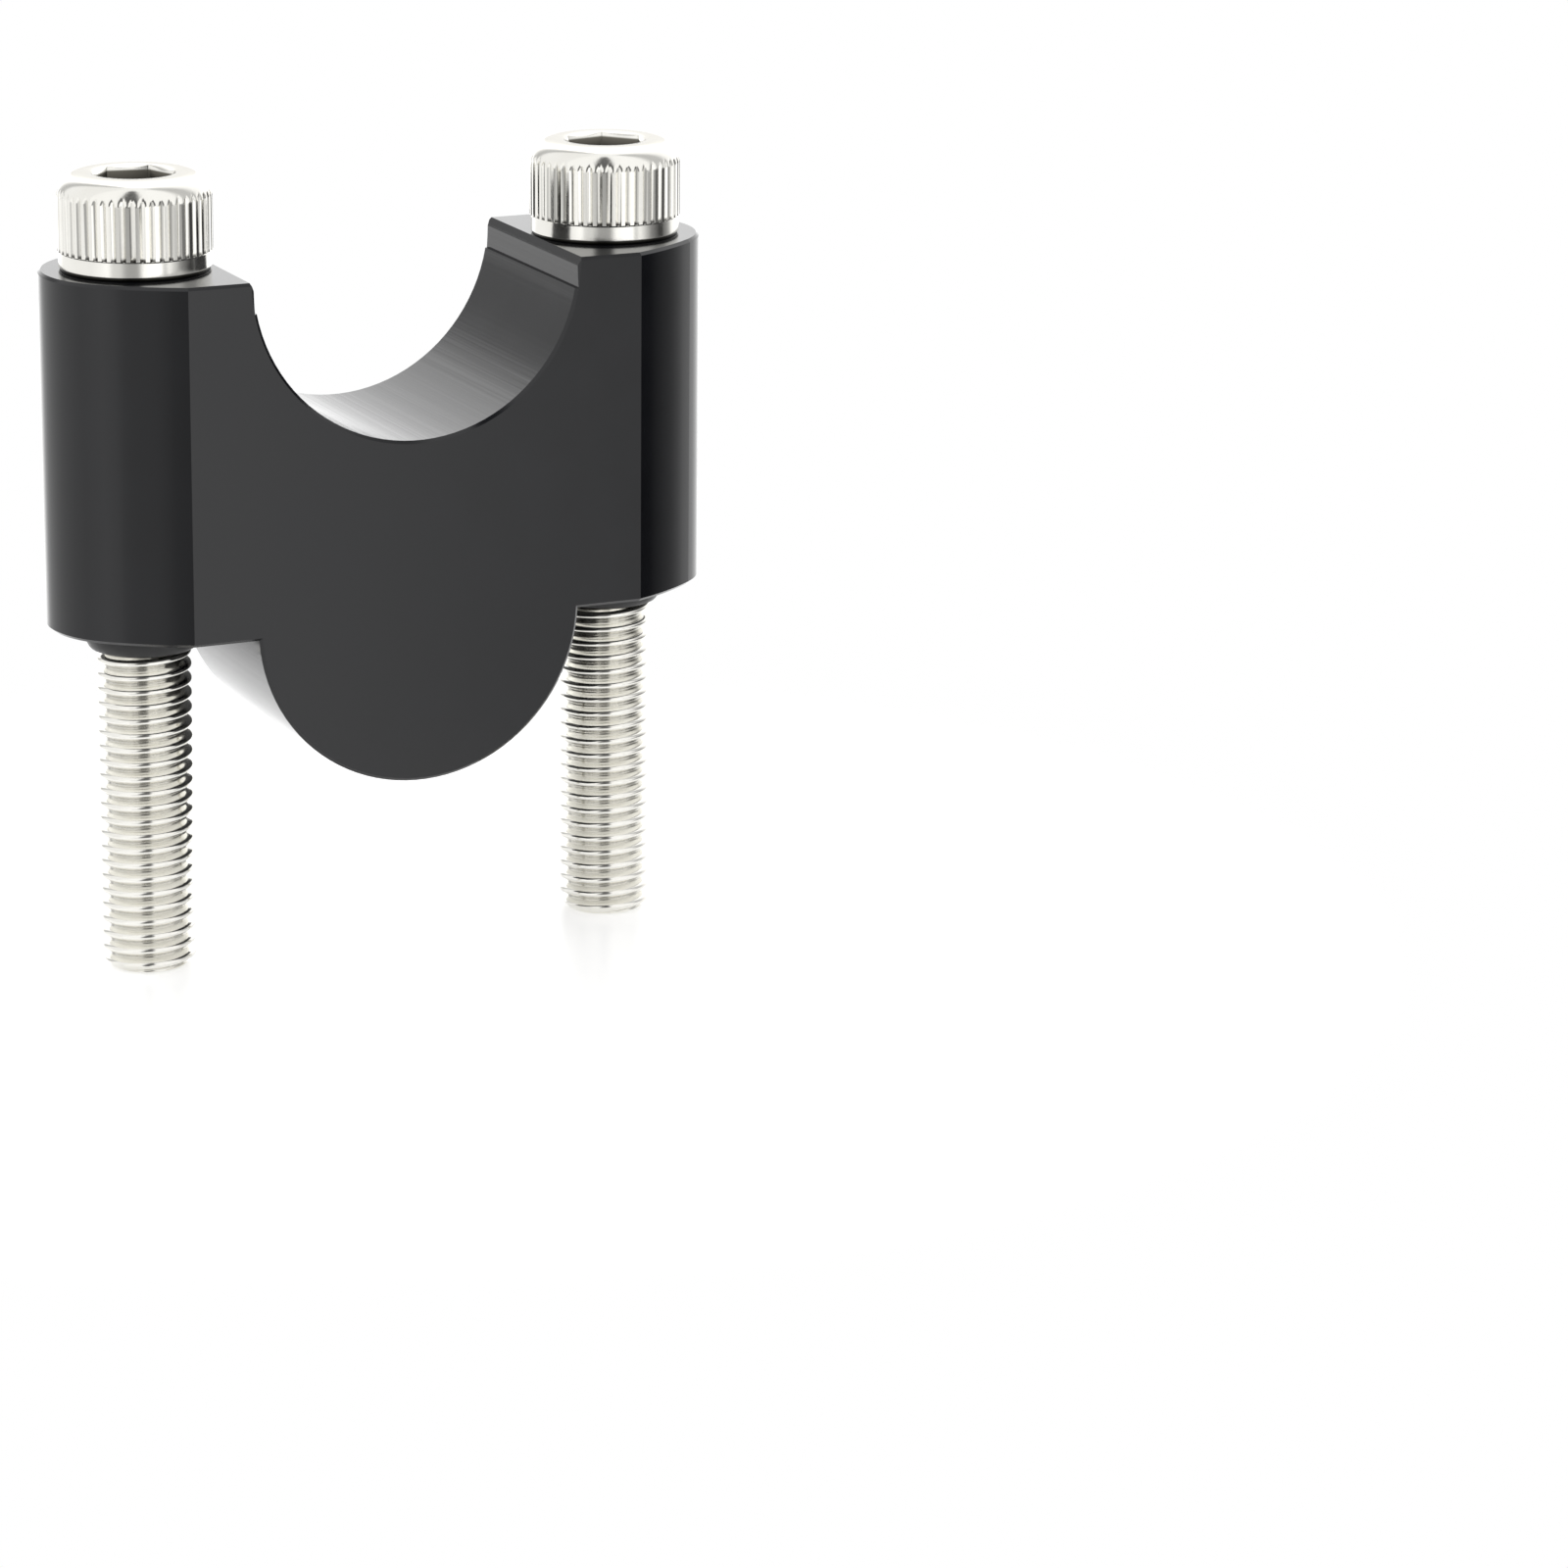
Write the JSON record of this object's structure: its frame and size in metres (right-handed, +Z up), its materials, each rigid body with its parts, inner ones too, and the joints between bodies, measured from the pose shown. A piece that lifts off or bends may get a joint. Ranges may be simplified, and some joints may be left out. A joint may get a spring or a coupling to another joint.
{
  "type": "motorcycle bar riser",
  "caption": "Handlebar riser block with a half-round saddle on top, a matching half-round nose below and long cap screws through its round ends.",
  "frame": {"origin": "midway between the screws, in the plane of the seat: the flat undersides of the two round ends that stand on the old clamp", "axes": "+X from screw to screw, +Y along the handlebar, +Z up towards the new bar position"},
  "size_m": [0.058, 0.02, 0.068],
  "materials": {
    "body": "black anodised, fine machined, satin",
    "screw": "bright stainless steel",
    "washer": "plain stainless steel",
    "ring": "smooth black rubber"
  },
  "bodies": {
    "root": {"riser_body": "body", "bolt_left": "screw", "bolt_right": "screw", "washer_left": "washer", "washer_right": "washer", "retaining_ring_left": "ring", "retaining_ring_right": "ring"}
  },
  "joints": []
}
